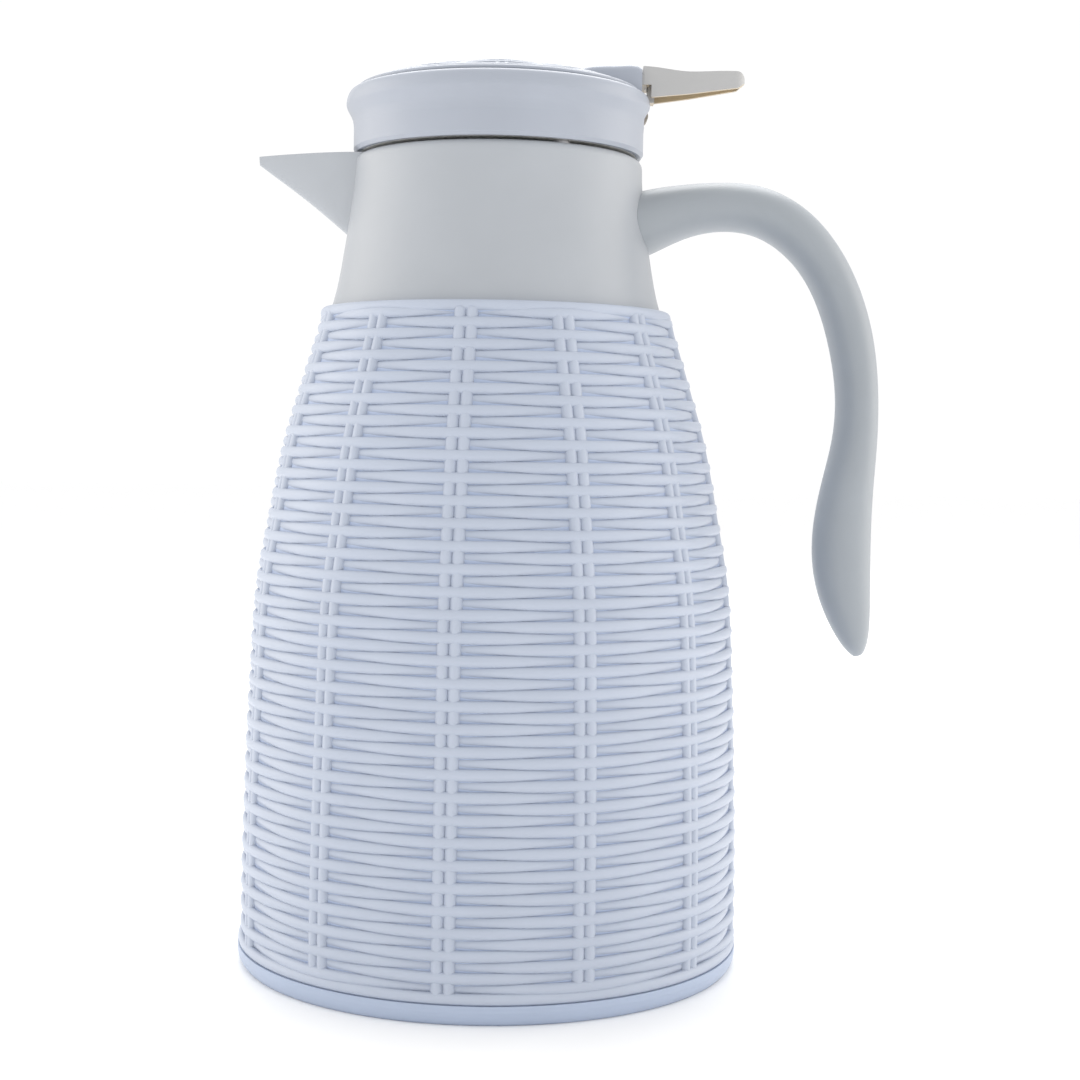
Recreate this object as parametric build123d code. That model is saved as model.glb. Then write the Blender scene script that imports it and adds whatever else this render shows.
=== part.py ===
"""Vacuum jug with a woven-look shell, a screw-in lid, and a thumb lever that opens a pour valve.

Millimetres, +Z up. The origin is the centre of the underside, on the axis of the body.
The spout points to -X and the handle and lever to +X.
"""

import os
from math import cos, radians, sin

from build123d import *

# ---- Barrel, neck and base ----
BASE_TOP = 6.0  # top of the smooth base band
BASE_R = 82.2
SHELL_TOP = 212.5  # where the barrel meets the neck
NECK_TOP = 262.0
SHELL_WALL = 2.4
SHELL_MOUTH_R = 52.2  # hole that the neck's spigot drops into
SHOULDER_DEPTH = 2.5  # thickness of the barrel around that hole
NECK_WALL = 2.4
# (radius, height) points of the barrel's outside, from the base band up to the shoulder
BARREL_OUTLINE = [
    (82.2, 6.0),
    (82.2, 24.0),
    (81.5, 58.0),
    (80.2, 92.0),
    (78.0, 125.0),
    (74.4, 145.5),
    (69.5, 170.5),
    (63.8, 190.0),
    (58.0, 208.8),
]
SHOULDER = [(57.4, 211.4), (55.6, SHELL_TOP)]  # rounded edge between the barrel's side and its top
# (radius, height) points of the neck's outside
NECK_OUTLINE = [(53.9, 212.5), (52.1, 219.0), (50.4, 228.0), (48.8, 238.0), (47.4, 250.0), (47.0, 259.0)]
NECK_EDGE = 2.8  # rounding of the neck's top edge
SPIGOT_INNER_R = 49.6
SPIGOT_R = 51.9
SPIGOT_DEPTH = 6.0
LEDGE_INNER_R = 43.6  # ledge inside the neck that carries the collar
LEDGE_THICK = 2.0

# ---- Base cap and foot ring ----
BASE_FLOOR = 5.2  # thickness of the floor
CAP_WALL_R = 78.7  # upstand that slides inside the barrel
CAP_WALL = 2.4
CAP_WALL_TOP = 14.0
UNDERSIDE_R = 80.4  # edge of the flat underside
FOOT_INNER_R = 67.2
FOOT_R = 73.8
FOOT_GROOVE = 2.6  # depth of the groove that holds the foot ring
RECESS = 0.9  # the underside is hollowed by this much beside the foot ring
RECESS_INNER_R = 22.0
RECESS_OUTER_R = 77.0
CUSHION_INNER_R = 14.0
CUSHION_R = 46.0
CUSHION_TOP = 24.0

# ---- Spout ----
SPOUT_TIP = 78.2  # reach from the axis
SPOUT_WALL = 1.9
CHANNEL_START = 36.0
CHANNEL_OVERCUT = 1.5
KEEL_SLOPE = 1.25  # the wall is this much thicker measured down the keel
CHANNEL_DEPTH = 22.4  # of the channel where it opens the neck's wall, below the rim
# (distance from the axis, half-width, depth below the rim, rim height) of the beak's cross-sections
SPOUT_SECTIONS = [
    (42.0, 14.6, 30.6, 262.0),
    (52.0, 12.4, 22.7, 262.1),
    (62.0, 8.6, 14.6, 262.1),
    (70.0, 5.2, 8.6, 262.0),
    (78.0, 1.6, 2.6, 261.8),
]

# ---- Handle ----
# (x, z, direction of travel in degrees below +X, thickness, width) along the handle's centre line
HANDLE_STATIONS = [
    (43.0, 241.5, -18.0, 22.0, 36.0),
    (52.0, 243.8, -14.0, 19.6, 31.0),
    (61.0, 246.4, -10.0, 17.2, 27.0),
    (73.0, 248.0, 0.0, 15.8, 24.6),
    (85.2, 246.8, 16.0, 15.9, 24.0),
    (96.0, 241.4, 38.0, 15.7, 24.0),
    (105.2, 232.0, 56.0, 15.0, 24.0),
    (111.8, 220.2, 67.0, 14.7, 24.0),
    (116.5, 205.5, 78.0, 14.5, 24.0),
    (119.0, 188.0, 87.0, 13.8, 24.0),
    (118.7, 172.0, 95.0, 14.6, 23.6),
    (116.7, 157.0, 97.0, 17.0, 23.0),
    (115.2, 139.0, 91.0, 19.2, 22.4),
    (116.2, 124.0, 84.0, 17.6, 21.4),
    (118.6, 113.0, 76.0, 13.4, 18.6),
    (120.5, 106.0, 72.0, 8.8, 14.0),
    (121.6, 101.6, 70.0, 3.2, 6.0),
]
HANDLE_SCREW_Y = 7.0
HANDLE_SCREW_Z = 242.5
HANDLE_SCREW_R = 1.75
HANDLE_SCREW_HEAD_R = 3.1
HANDLE_SCREW_X = 42.0
HANDLE_SCREW_HEAD_X = 44.2
HANDLE_SCREW_END_X = 60.0

# ---- Vacuum flask ----
GLASS_WALL = 1.6
MOUTH_Z = 222.0
LIP_R = 33.0
LIP_INNER_R = 27.5
LINER_NECK_R = 28.2
GASKET_R = 36.0
GASKET_TOP = 223.0
GASKET_BOTTOM = 216.5
# (radius, height) points of the outer glass, from the bottom up
FLASK_OUTLINE = [(24.0, 16.2), (48.0, 22.0), (64.0, 37.0), (68.0, 58.0)]
FLASK_SHOULDER = [(68.0, 134.0), (66.0, 151.0), (60.0, 172.0), (48.0, 193.0), (35.5, 207.0), (33.0, 214.0)]
INNER_OUTLINE = [(22.0, 25.0), (44.0, 30.5), (58.5, 43.0), (63.0, 62.0)]
INNER_SHOULDER = [(63.0, 131.0), (61.0, 147.0), (55.0, 167.0), (43.0, 188.0), (30.8, 202.5), (28.2, 211.0)]
SPACER_Z = 96.0
SPACER_R = 5.0
SPACER_ANGLES = (60.0, 180.0, 300.0)

# ---- Collar and thread ----
COLLAR_BORE = 35.6
COLLAR_WALL = 2.4
COLLAR_BOTTOM = 223.0
GALLERY_Z = 246.0  # height of the pour gallery's floor on the axis
GALLERY_SLOPE = 5.0  # the floor falls towards the spout, in degrees
GALLERY_FLOOR = 2.4  # thickness of the floor
STARTS = 4
THREAD_LEAD = 48.0  # rise for one full turn of the lid
THREAD_SPAN = 40.0  # angle that each thread rib covers, in degrees
RIB_THICK = 2.0
RIB_GAP = 0.35
FEMALE_CREST_R = 33.95
MALE_CREST_R = 35.15
FEMALE_START_Z = 234.3
RIB_ROOT = 0.5  # how far a rib is sunk into the wall it stands on
RIB_STEPS = 5

# ---- Stopper ----
STOPPER_R = 33.5
STOPPER_WALL = 2.0
STOPPER_BASE_Z = 227.5
STOPPER_TUBE_Z = 230.5
FLANGE_Z = 263.0
FLANGE_TOP = 265.5
FLANGE_R = 44.9
PORT_WIDTH = 15.0
PORT_BOTTOM = 244.5
PORT_TOP = 257.5
SEAT_HOLE_R = 9.5
SEAL_INNER_R = 28.6
BASE_SPIGOT_TOP = 233.5
STEM_BOSS_BOTTOM = 260.0
STEM_BOSS_R = 9.0
STEM_BOSS_BORE = 5.1
WELL_R = 7.0
WELL_WALL = 1.8
DECK_Z = 277.0
DECK_TOP = 279.0

# ---- Lid ----
SKIRT_R = 47.2
BEAD_R = 49.6
SKIRT_INNER_R = 45.0
SKIRT_BOTTOM = 263.0
SKIRT_LIP_Z = 280.4  # shelf that the cover's rim drops onto
FLARE_Z = 271.0  # where the skirt starts to flare towards the bead
BEAD_LOW = (49.4, 277.4)  # (radius, height) where the flare turns into the bead
FLAT_X = 47.0  # flat in the bead where the lever comes down
FLAT_HALF_WIDTH = 9.4
POCKET_X = 46.0
POCKET_HALF_WIDTH = 3.6
POCKET_BOTTOM = 274.6
POCKET_TOP = 278.6
STOP_GAP = 0.1  # play of the stop in its pocket
STOP_ROUND_R = 2.4
SKIRT_TOP = 283.0
COVER_R = 46.1
COVER_EDGE_Z = 284.0
DOME_TOP = 292.6
DOME_INNER_TOP = 290.2
COVER_INNER_R = 43.8
COVER_BOTTOM = 280.6
POD_HALF_WIDTH = 11.0
POD_END_X = 46.0
POD_TOP = 292.0
POD_CAVITY_X = 29.6
POD_CAVITY_TOP = 289.8
LID_SCREW_RADIUS = 40.0
LID_SCREW_ANGLES = (60.0, 180.0, 300.0)
LID_SCREW_R = 1.6
LID_SCREW_HEAD_R = 3.0
LID_SCREW_BOTTOM = 261.4
LID_SCREW_TOP = 274.0
PILLAR_R = 3.6
PILLAR_WEB = 3.0

# ---- Lever and valve ----
PIVOT_X = 34.0
PIVOT_Z = 284.5
PIN_R = 1.5
PIN_CLEARANCE = 0.06
LEVER_END_X = 80.0
LEVER_HALF_WIDTH = 7.7
LEVER_TIP_R = 4.0
LEVER_WALL = 1.8
LEVER_ROOT_X = 46.5
LEVER_FLAT_Z = 275.0  # any height below the lever, where its plan is drawn
LEVER_HUB_R = 3.2
FORK_HALF_WIDTH = 7.6
FORK_SLOT = 3.6  # half-width of the slot that straddles the stem
STEM_R = 2.9
STEM_TOP = 284.3
STEM_CAP_Z = 282.8
STEM_CAP_R = 8.0
VALVE_R = 12.5
VALVE_BOTTOM = 232.5
VALVE_TOP = 234.5
VALVE_HUB_R = 5.0
VALVE_HUB_TOP = 238.0
VALVE_SEAL_R = 12.3
VALVE_SEAL_INNER_R = 8.6
SPRING_COLLAR_Z = 266.0
SPRING_COLLAR_TOP = 267.4
SPRING_COLLAR_R = 6.2
SPRING_WIRE_R = 0.45
SPRING_R = 5.3
SPRING_TURNS = 4


def turned(points):
    """Solid of revolution about Z of a closed (radius, height) polygon."""
    outline = Polyline(*[(r, 0, z) for r, z in points], close=True)
    return revolve(make_face(outline), Axis.Z)


def turned_smooth(curve_points, closing_points):
    """Solid of revolution whose outside is a smooth curve, closed by straight lines."""
    curve = Spline(*[(r, 0, z) for r, z in curve_points])
    corners = [curve_points[-1], *closing_points, curve_points[0]]
    lines = Polyline(*[(r, 0, z) for r, z in corners])
    return revolve(make_face(curve + lines), Axis.Z)


def ring(inner, outer, z0, z1):
    """Plain ring about Z."""
    return turned([(inner, z0), (outer, z0), (outer, z1), (inner, z1)])


def disc(radius, z0, z1, x=0.0, y=0.0):
    """Upright cylinder."""
    return Pos(x, y, (z0 + z1) / 2) * Cylinder(radius, z1 - z0)


def block(x0, x1, half_width, z0, z1):
    """Box that is symmetric about the XZ plane."""
    centre = ((x0 + x1) / 2, 0, (z0 + z1) / 2)
    return Pos(*centre) * Box(x1 - x0, 2 * half_width, z1 - z0)


def side_profile(points, half_width):
    """Closed (x, z) outline extruded to both sides of the XZ plane."""
    face = make_face(Polyline(*[(x, 0, z) for x, z in points], close=True))
    return extrude(face, amount=half_width, dir=(0, 1, 0), both=True)


def shifted(points, step):
    """The same outline with every radius moved by step."""
    return [(r + step, z) for r, z in points]


def helical_ribs(inner, outer, start_z):
    """Four-start thread: short ribs that climb at the thread's lead."""
    ribs = []
    half = RIB_THICK / 2
    for start in range(STARTS):
        sections = []
        for i in range(RIB_STEPS + 1):
            turn = THREAD_SPAN * i / RIB_STEPS
            angle = start * 360.0 / STARTS + turn
            z = start_z + THREAD_LEAD * turn / 360.0
            corners = [(inner, z - half), (outer, z - half), (outer, z + half), (inner, z + half)]
            c, s = cos(radians(angle)), sin(radians(angle))
            outline = Polyline(*[(r * c, r * s, h) for r, h in corners], close=True)
            sections.append(make_face(outline))
        ribs.append(loft(sections, ruled=True))
    return ribs


def neck_outside(extra=0.0):
    """Solid bounded by the neck's outside, with its rounded top edge."""
    top_r = NECK_OUTLINE[-1][0]
    curve = Spline(*[(r + extra, 0, z) for r, z in NECK_OUTLINE])
    edge = ThreePointArc(
        (top_r + extra, 0, NECK_OUTLINE[-1][1]),
        (top_r + extra - 0.3 * NECK_EDGE, 0, NECK_TOP - 0.3 * NECK_EDGE),
        (top_r + extra - NECK_EDGE * 0.85, 0, NECK_TOP),
    )
    start = (NECK_OUTLINE[0][0] + extra, 0, NECK_OUTLINE[0][1])
    lines = Polyline(edge @ 1, (0, 0, NECK_TOP), (0, 0, NECK_OUTLINE[0][1]), start)
    return revolve(make_face(curve + edge + lines), Axis.Z)


def neck_inside(extra=0.0):
    """Solid that fills the neck's bore."""
    inner = shifted(NECK_OUTLINE, extra - NECK_WALL)
    above = NECK_TOP + 2.0
    return turned_smooth(inner, [(inner[-1][0], above), (0.0, above), (0.0, SHELL_TOP)])


def sloping_ring(inner, outer, low, high):
    """Ring along the pour gallery's floor, which falls towards the spout."""
    return Pos(0, 0, GALLERY_Z) * Rot(0, -GALLERY_SLOPE, 0) * ring(inner, outer, low, high)


def make_outer_shell():
    mouth = [(SHELL_MOUTH_R, SHELL_TOP), (SHELL_MOUTH_R, SHELL_TOP - SHOULDER_DEPTH)]
    outer = Spline(*[(r, 0, z) for r, z in BARREL_OUTLINE])
    inner = Spline(*[(r, 0, z) for r, z in shifted(BARREL_OUTLINE, -SHELL_WALL)[::-1]])
    top = Polyline(outer @ 1, *[(r, 0, z) for r, z in SHOULDER + mouth], inner @ 0)
    bottom = Line(inner @ 1, outer @ 0)
    return revolve(make_face(outer + top + inner + bottom), Axis.Z)


def spout_section(distance, half_width, depth, rim, inset=0.0):
    """One upright V-shaped cross-section of the beak; an inset gives the channel inside it."""
    w = half_width - inset
    d = depth - KEEL_SLOPE * inset
    keel = Spline(
        (-distance, w, rim),
        (-distance, w * 0.60, rim - d * 0.60),
        (-distance, 0, rim - d),
        (-distance, -w * 0.60, rim - d * 0.60),
        (-distance, -w, rim),
    )
    rim_line = Line(keel @ 1, keel @ 0)
    if inset:
        top = rim + CHANNEL_OVERCUT
        rim_line = Polyline(keel @ 1, (-distance, -w, top), (-distance, w, top), keel @ 0)
    return make_face(keel + rim_line)


def spout_outside():
    return loft([spout_section(*s) for s in SPOUT_SECTIONS])


def spout_channel():
    """Space inside the beak, which also opens the neck's wall behind it."""
    _, half_width, _, rim = SPOUT_SECTIONS[0]
    inner = [spout_section(CHANNEL_START, half_width, CHANNEL_DEPTH, rim, SPOUT_WALL)]
    inner += [spout_section(*s, SPOUT_WALL) for s in SPOUT_SECTIONS[1:-1]]
    tip_width = SPOUT_WALL + 0.8
    tip_depth = KEEL_SLOPE * SPOUT_WALL + 1.1
    tip_rim = SPOUT_SECTIONS[-1][3]
    inner.append(spout_section(SPOUT_TIP + 1.0, tip_width, tip_depth, tip_rim, SPOUT_WALL))
    return loft(inner)


def make_neck_shell():
    outside = neck_outside()
    # the beak joins the outside of the neck only
    body = outside + (spout_outside() - disc(40.0, 200.0, 280.0))
    body = body - neck_inside() - spout_channel()
    # spigot that centres the neck in the barrel, and the ledge that carries the collar
    spigot = ring(SPIGOT_INNER_R, SPIGOT_R, SHELL_TOP - SPIGOT_DEPTH, SHELL_TOP)
    step = ring(SPIGOT_INNER_R, NECK_OUTLINE[0][0] - 0.6, SHELL_TOP, SHELL_TOP + 1.1)
    ledge_top = -GALLERY_FLOOR
    ledge = sloping_ring(LEDGE_INNER_R, 49.0, ledge_top - LEDGE_THICK, ledge_top) & neck_inside(0.3)
    # the ledge stops short of the handle's screws
    ledge = ledge - block(30.0, 60.0, 17.0, 230.0, 255.0)
    hole_r = HANDLE_SCREW_R + 0.15
    holes = [along_x(hole_r, 40.0, 55.0, side * HANDLE_SCREW_Y) for side in (-1, 1)]
    return body + spigot + step + ledge - holes


def along_x(radius, x0, x1, y):
    """Cylinder along X at the height of the handle's screws."""
    middle = Pos((x0 + x1) / 2, y, HANDLE_SCREW_Z) * Rot(0, 90, 0)
    return middle * Cylinder(radius, x1 - x0)


def make_handle_screws():
    screws = []
    for side in (-1, 1):
        y = side * HANDLE_SCREW_Y
        shank = along_x(HANDLE_SCREW_R, HANDLE_SCREW_X + 0.6, HANDLE_SCREW_END_X, y)
        head = along_x(HANDLE_SCREW_HEAD_R, HANDLE_SCREW_X, HANDLE_SCREW_HEAD_X, y)
        screws.append(shank + head)
    return screws


def make_handle():
    sections = []
    for x, z, turn, thick, width in HANDLE_STATIONS:
        direction = (cos(radians(turn)), 0, -sin(radians(turn)))
        plane = Plane(origin=(x, 0, z), x_dir=(0, 1, 0), z_dir=direction)
        sections.append(plane * Ellipse(width / 2, thick / 2))
    grip = loft(sections)
    return grip - neck_outside(0.02) - make_handle_screws()


def flask_wall(bottom, shoulder, neck_r, top_z):
    """Closed outline of one glass wall's outside, from its bottom centre to its mouth."""
    base = Spline((0, 0, bottom[0][1] - 0.6), *[(r, 0, z) for r, z in bottom])
    side = Line(base @ 1, (shoulder[0][0], 0, shoulder[0][1]))
    upper = Spline(*[(r, 0, z) for r, z in shoulder])
    close = Polyline(upper @ 1, (neck_r, 0, top_z), (0, 0, top_z), base @ 0)
    return revolve(make_face(base + side + upper + close), Axis.Z)


def glass_shell(bottom, shoulder, neck_r, top_z):
    """One glass wall, open at the mouth."""
    outside = flask_wall(bottom, shoulder, neck_r, top_z)
    raised = [(r - GLASS_WALL, z + GLASS_WALL) for r, z in bottom[:-1]]
    inner_bottom = raised + [(bottom[-1][0] - GLASS_WALL, bottom[-1][1])]
    inner_shoulder = shifted(shoulder, -GLASS_WALL)
    inside = flask_wall(inner_bottom, inner_shoulder, neck_r - GLASS_WALL, top_z + 3.0)
    return outside, outside - inside


def make_liners():
    """The two glass walls, fused at the mouth by a lip that belongs to the inner one."""
    lip_bottom = MOUTH_Z - GLASS_WALL
    _, inner = glass_shell(INNER_OUTLINE, INNER_SHOULDER, LINER_NECK_R, MOUTH_Z)
    lip = ring(LIP_INNER_R, LIP_R, lip_bottom, MOUTH_Z)
    filled, outer = glass_shell(FLASK_OUTLINE, FLASK_SHOULDER, LIP_R, lip_bottom)
    # the sealed-off tip of the tube that the air was drawn out through
    seal_tip = turned([(0.0, 11.4), (1.4, 12.0), (3.6, 17.2), (0.0, 17.2)])
    return inner + lip, outer + (seal_tip - disc(20.0, 16.4, 30.0)), filled


def make_liner_spacers():
    pads = []
    inner_r = INNER_SHOULDER[0][0]
    outer_r = FLASK_SHOULDER[0][0] - GLASS_WALL
    gap = ring(inner_r, outer_r, SPACER_Z - 16.0, SPACER_Z + 16.0)
    for angle in SPACER_ANGLES:
        peg = Rot(0, 0, angle) * Pos(64.5, 0, SPACER_Z) * Rot(0, 90, 0) * Cylinder(SPACER_R, 10.0)
        pads.append(peg & gap)
    return pads


def make_mouth_gasket():
    inner_r = LIP_INNER_R + 0.1
    over_lip_r = LIP_R + 0.05
    section = [(inner_r, MOUTH_Z), (over_lip_r, MOUTH_Z), (over_lip_r, GASKET_BOTTOM)]
    section += [(GASKET_R, GASKET_BOTTOM), (GASKET_R, GASKET_TOP), (inner_r, GASKET_TOP)]
    return turned(section)


def make_inner_collar():
    outer_r = COLLAR_BORE + COLLAR_WALL
    tube = ring(COLLAR_BORE, outer_r, COLLAR_BOTTOM, GALLERY_Z + 6.0)
    tube = tube - sloping_ring(0.1, 60.0, -GALLERY_FLOOR / 2, 20.0)
    seat = ring(LIP_INNER_R + 0.1, outer_r, COLLAR_BOTTOM, COLLAR_BOTTOM + 2.0)
    floor = sloping_ring(30.0, 60.0, -GALLERY_FLOOR, 0.0) - disc(COLLAR_BORE, 230.0, 260.0)
    body = tube + seat + (floor & neck_inside(-0.25))
    for rib in helical_ribs(FEMALE_CREST_R, COLLAR_BORE + RIB_ROOT, FEMALE_START_Z):
        body = body + rib
    return body


def make_base_cushion(flask):
    return ring(CUSHION_INNER_R, CUSHION_R, BASE_FLOOR, CUSHION_TOP) - flask


def make_base_cap():
    edge = ThreePointArc((UNDERSIDE_R, 0, 0.0), (81.6, 0, 1.6), (BASE_R, 0, 4.0))
    wall_inner_r = CAP_WALL_R - CAP_WALL
    path = [(BASE_R, BASE_TOP), (CAP_WALL_R, BASE_TOP), (CAP_WALL_R, CAP_WALL_TOP)]
    path += [(wall_inner_r, CAP_WALL_TOP), (wall_inner_r, BASE_FLOOR), (0.0, BASE_FLOOR), (0.0, 0.0)]
    groove_inner_r = FOOT_INNER_R - 0.2
    groove_r = FOOT_R + 0.2
    path += [(RECESS_INNER_R, 0.0), (RECESS_INNER_R, RECESS), (groove_inner_r, RECESS)]
    path += [(groove_inner_r, FOOT_GROOVE), (groove_r, FOOT_GROOVE), (groove_r, RECESS)]
    path += [(RECESS_OUTER_R, RECESS), (RECESS_OUTER_R, 0.0), (UNDERSIDE_R, 0.0)]
    lines = Polyline((BASE_R, 0, 4.0), *[(r, 0, z) for r, z in path])
    return revolve(make_face(edge + lines), Axis.Z)


def make_foot_ring():
    return ring(FOOT_INNER_R, FOOT_R, 0.0, FOOT_GROOVE)


def make_stopper_seal():
    low = COLLAR_BOTTOM + 2.05
    high = STOPPER_BASE_Z - 0.05
    rim_r = STOPPER_R - 0.1
    section = [(SEAL_INNER_R, low), (rim_r - 0.4, low), (rim_r, low + 0.95)]
    return turned([*section, (rim_r, high), (SEAL_INNER_R, high)])


def make_stopper_base():
    plate = ring(SEAT_HOLE_R, STOPPER_R, STOPPER_BASE_Z, STOPPER_TUBE_Z)
    hub = ring(24.5, SEAL_INNER_R - 0.1, STOPPER_BASE_Z - 2.0, STOPPER_BASE_Z)
    spigot = ring(29.0, STOPPER_R - STOPPER_WALL - 0.1, STOPPER_TUBE_Z, BASE_SPIGOT_TOP)
    return plate + hub + spigot


def make_stopper_body():
    tube = ring(STOPPER_R - STOPPER_WALL, STOPPER_R, STOPPER_TUBE_Z, FLANGE_Z)
    male_z = FEMALE_START_Z - RIB_THICK - RIB_GAP
    for rib in helical_ribs(STOPPER_R - RIB_ROOT, MALE_CREST_R, male_z):
        tube = tube + rib
    port = block(STOPPER_R - 6.0, STOPPER_R + 6.0, PORT_WIDTH / 2, PORT_BOTTOM, PORT_TOP)
    for k in range(4):
        tube = tube - Rot(0, 0, 90.0 * k) * port
    flange = ring(STEM_R + 0.5, FLANGE_R, FLANGE_Z, FLANGE_TOP)
    boss = ring(STEM_BOSS_BORE, STEM_BOSS_R, STEM_BOSS_BOTTOM, FLANGE_Z)
    well = ring(WELL_R, WELL_R + WELL_WALL, FLANGE_TOP, DECK_Z)
    body = tube + flange + boss + well
    for screw in lid_screw_shapes(0.15):
        body = body - screw
    return body


def lid_screw_shapes(clearance=0.0):
    screws = []
    for angle in LID_SCREW_ANGLES:
        x = LID_SCREW_RADIUS * cos(radians(angle))
        y = LID_SCREW_RADIUS * sin(radians(angle))
        head = disc(LID_SCREW_HEAD_R + clearance, LID_SCREW_BOTTOM, FLANGE_Z, x, y)
        shank = disc(LID_SCREW_R + clearance, FLANGE_Z, LID_SCREW_TOP, x, y)
        screws.append(head + shank)
    return screws


def make_stem_seal():
    return ring(STEM_R + 0.06, STEM_BOSS_BORE - 0.1, STEM_BOSS_BOTTOM + 0.4, FLANGE_Z)


def make_insulation_foam():
    return ring(WELL_R + WELL_WALL + 0.2, 35.5, FLANGE_TOP, DECK_Z - 0.3)


def make_mechanism_deck():
    return ring(STEM_R + 0.4, 44.6, DECK_Z, DECK_TOP)


def make_lid_skirt():
    rim_r = COVER_R + 0.1
    start = (SKIRT_R, 0, FLARE_Z)
    low = (BEAD_LOW[0], 0, BEAD_LOW[1])
    rim = (rim_r, 0, SKIRT_TOP)
    flare = Spline(start, (47.9, 0, 274.6), low, tangents=[(0, 0, 1), (0.5, 0, 1)])
    bead_points = [low, (BEAD_R, 0, 279.2), (48.8, 0, 281.7), rim]
    bead = Spline(*bead_points, tangents=[(0.5, 0, 1), (-1, 0, 0.15)])
    inside = [(rim_r, SKIRT_LIP_Z), (SKIRT_INNER_R, SKIRT_LIP_Z), (SKIRT_INNER_R, SKIRT_BOTTOM)]
    inside += [(SKIRT_R - 0.8, SKIRT_BOTTOM), (SKIRT_R, SKIRT_BOTTOM + 1.2)]
    lines = Polyline(rim, *[(r, 0, z) for r, z in inside], start)
    shell = revolve(make_face(flare + bead + lines), Axis.Z)
    for angle in LID_SCREW_ANGLES:
        shell = shell + screw_boss(angle)
    for screw in lid_screw_shapes():
        shell = shell - screw
    # flat where the lever comes down over the rim, and the pocket of its stop
    shell = shell - block(FLAT_X, 55.0, FLAT_HALF_WIDTH, 273.0, 290.0)
    return shell - block(POCKET_X, 55.0, POCKET_HALF_WIDTH, POCKET_BOTTOM, POCKET_TOP)


def screw_boss(angle):
    """Pillar for one of the lid's screws, with the web that ties it to the skirt."""
    x = LID_SCREW_RADIUS * cos(radians(angle))
    y = LID_SCREW_RADIUS * sin(radians(angle))
    pillar = disc(PILLAR_R, FLANGE_TOP, DECK_Z, x, y)
    web = block(LID_SCREW_RADIUS, LID_SCREW_RADIUS + 6.0, PILLAR_WEB / 2, FLANGE_TOP, DECK_Z)
    limits = ring(36.5, SKIRT_INNER_R + 0.4, FLANGE_TOP, DECK_Z)
    return (pillar + Rot(0, 0, angle) * web) & limits


def make_lever_stop():
    """Bumper with a rounded face, set in its pocket in the skirt."""
    half_width = POCKET_HALF_WIDTH - STOP_GAP
    middle = Pos(POCKET_X + STOP_GAP, 0, (POCKET_BOTTOM + POCKET_TOP) / 2)
    body = middle * Rot(90, 0, 0) * Cylinder(STOP_ROUND_R, 2 * half_width)
    low, high = POCKET_BOTTOM + STOP_GAP, POCKET_TOP - STOP_GAP
    return body & block(POCKET_X, POCKET_X + 3.0, half_width, low, high)


def make_lid_cover():
    dome = ThreePointArc((COVER_R, 0, COVER_EDGE_Z), (24.0, 0, 290.25), (0, 0, DOME_TOP))
    inner_edge = (COVER_INNER_R, 0, 282.4)
    under = ThreePointArc((0, 0, DOME_INNER_TOP), (24.0, 0, 287.85), inner_edge)
    foot = [(COVER_INNER_R, 0, COVER_BOTTOM), (COVER_R, 0, COVER_BOTTOM)]
    rim = Polyline(inner_edge, *foot, (COVER_R, 0, COVER_EDGE_Z))
    middle = Line((0, 0, DOME_TOP), (0, 0, DOME_INNER_TOP))
    shell = Rot(0, 0, 180) * revolve(make_face(dome + middle + under + rim), Axis.Z)
    # pod over the pivot: its sides reach down as the ears that hold the pin
    outline = [(23.0, 290.0), (30.0, 291.3), (38.0, 291.7), (POD_END_X, POD_TOP)]
    outline += [(POD_END_X, COVER_BOTTOM), (POD_CAVITY_X, COVER_BOTTOM), (POD_CAVITY_X, 288.3)]
    pod = side_profile(outline, POD_HALF_WIDTH)
    pod = pod - ring(COVER_R, 60.0, 275.0, COVER_EDGE_Z - 0.5)
    cavity = block(POD_CAVITY_X, 50.0, LEVER_HALF_WIDTH + 0.6, 270.0, POD_CAVITY_TOP)
    pin_hole = pin_shape(PIN_R, POD_HALF_WIDTH + 5.0)
    return shell + pod - cavity - pin_hole


def pin_shape(radius, half_length):
    return Pos(PIVOT_X, 0, PIVOT_Z) * Rot(90, 0, 0) * Cylinder(radius, 2 * half_length)


def make_lever_pin():
    return pin_shape(PIN_R, POD_HALF_WIDTH - 0.4)


def lever_plan(inset=0.0):
    """Plan of the lever's outer part: it tapers to a round tip."""
    tip_x = LEVER_END_X - LEVER_TIP_R
    root_y = LEVER_HALF_WIDTH - inset
    tip_y = LEVER_TIP_R - inset
    root_x = LEVER_ROOT_X + inset
    z = LEVER_FLAT_Z
    nose = ThreePointArc((tip_x, tip_y, z), (tip_x + tip_y, 0, z), (tip_x, -tip_y, z))
    sides = Polyline(nose @ 1, (root_x, -root_y, z), (root_x, root_y, z), nose @ 0)
    return extrude(make_face(nose + sides), amount=25.0, dir=(0, 0, 1))


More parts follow.
